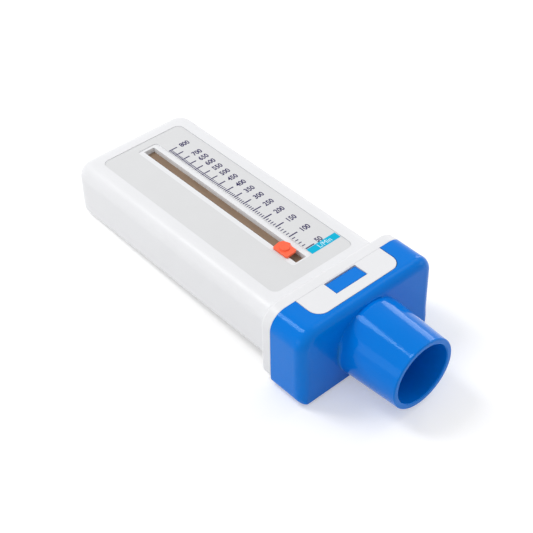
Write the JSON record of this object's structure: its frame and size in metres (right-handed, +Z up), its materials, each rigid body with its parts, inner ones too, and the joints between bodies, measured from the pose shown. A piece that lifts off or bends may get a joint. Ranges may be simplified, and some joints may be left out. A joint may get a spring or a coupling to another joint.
{
  "type": "peak flow meter",
  "caption": "Hand-held box-shaped peak flow meter with a push-on mouthpiece cap, a sliding pointer over a long slotted scale and a spring-loaded piston inside.",
  "frame": {"origin": "middle of the footprint, in the plane of the underside of the mouthpiece cap", "axes": "+Y along the device away from the mouthpiece, +Z up through the scale, +X to the right seen from above with the mouthpiece at the bottom"},
  "size_m": [0.0676, 0.1728, 0.0345],
  "materials": {
    "white_plastic": "satin",
    "label_grey": "matte",
    "blue_plastic": "gloss",
    "red_plastic": "satin",
    "taupe_plastic": "matte",
    "clear_grey_plastic": "matte",
    "piston_plastic": "matte",
    "bush_plastic": "matte",
    "seal_rubber": "matte",
    "felt": "matte",
    "steel": "brushed"
  },
  "bodies": {
    "housing": {"front_shell": "white_plastic", "rear_cover": "white_plastic", "scale_label": "label_grey", "slot_strip": "taupe_plastic", "mouthpiece_cap": "blue_plastic", "cap_gasket": "seal_rubber", "inlet_grille": "blue_plastic", "rod_front_holder": "clear_grey_plastic", "rod_rear_holder": "clear_grey_plastic", "guide_rod": "steel", "rod_clips": "steel", "front_bumper": "seal_rubber", "rear_bumper": "seal_rubber", "return_spring": "steel", "spring_washer": "steel", "orifice_plate": "clear_grey_plastic", "orifice_screws": "steel", "cover_screws": "steel"},
    "piston": {"piston_vane": "piston_plastic", "piston_bush": "bush_plastic"},
    "pointer": {"pointer": "red_plastic", "pointer_foot": "red_plastic", "pointer_brake": "felt"},
    "latch": {"cap_latch": "blue_plastic"}
  },
  "joints": [
    {"name": "piston_slide", "type": "slide", "parent": "housing", "child": "piston", "axis": [0, 1, 0], "range_m": [0, 0.0786], "stiffness_N_per_m": 6, "springref_m": -0.01, "deforming": ["return_spring"]},
    {"name": "pointer_slide", "type": "slide", "parent": "housing", "child": "pointer", "axis": [0, 1, 0], "range_m": [0, 0.0786]},
    {"name": "latch_press", "type": "hinge", "parent": "housing", "child": "latch", "pos_m": [0, -0.05555, 0.0311], "axis": [-1, 0, 0], "range_deg": [0, 16], "stiffness_Nm_per_rad": 0.05}
  ],
  "couplings": [
    {"joint": "pointer_slide", "follows": "piston_slide", "ratio": 1}
  ]
}
